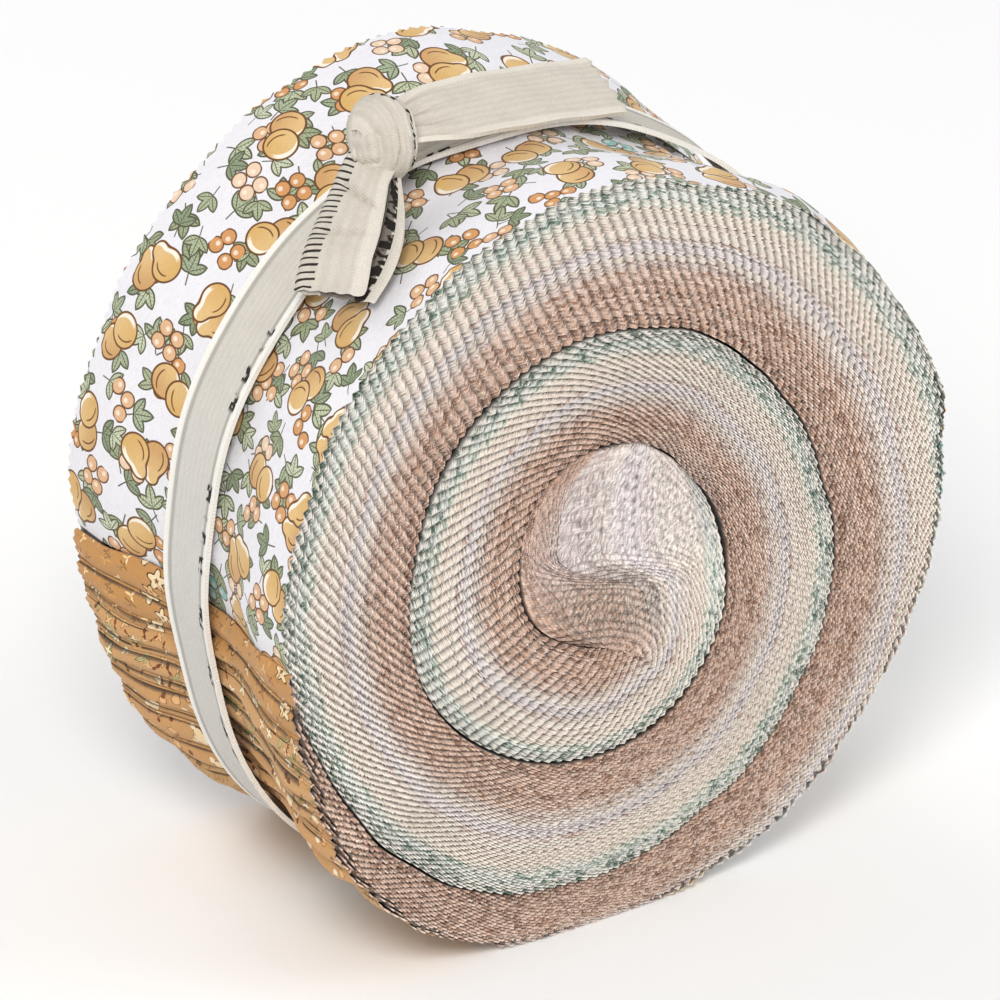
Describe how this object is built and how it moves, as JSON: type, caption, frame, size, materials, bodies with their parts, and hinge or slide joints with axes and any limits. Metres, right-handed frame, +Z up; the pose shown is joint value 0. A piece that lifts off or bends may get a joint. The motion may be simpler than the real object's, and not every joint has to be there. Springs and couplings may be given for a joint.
{
  "type": "fabric strip roll",
  "caption": "Stack of precut cotton strips with pinked edges, rolled up into a wheel that stands on its tread and tied round the middle with a knotted tape.",
  "frame": {"origin": "middle of the roll's bounding box at its base, which is the flat spot that it stands on", "axes": "+Z up, the roll's axis along Y, the front face of the roll towards -Y"},
  "size_m": [0.1234, 0.0634, 0.1392],
  "materials": {
    "printed_cotton": "printed quilting cotton, matte, with pinked edges",
    "tape": "off-white cotton tape with a dark overcast edge, matte"
  },
  "bodies": {
    "root": {"strip_roll": "printed_cotton", "tie_band": "tape", "tie_knot": "tape", "tie_tail_right": "tape", "tie_tail_hanging": "tape"}
  },
  "joints": []
}
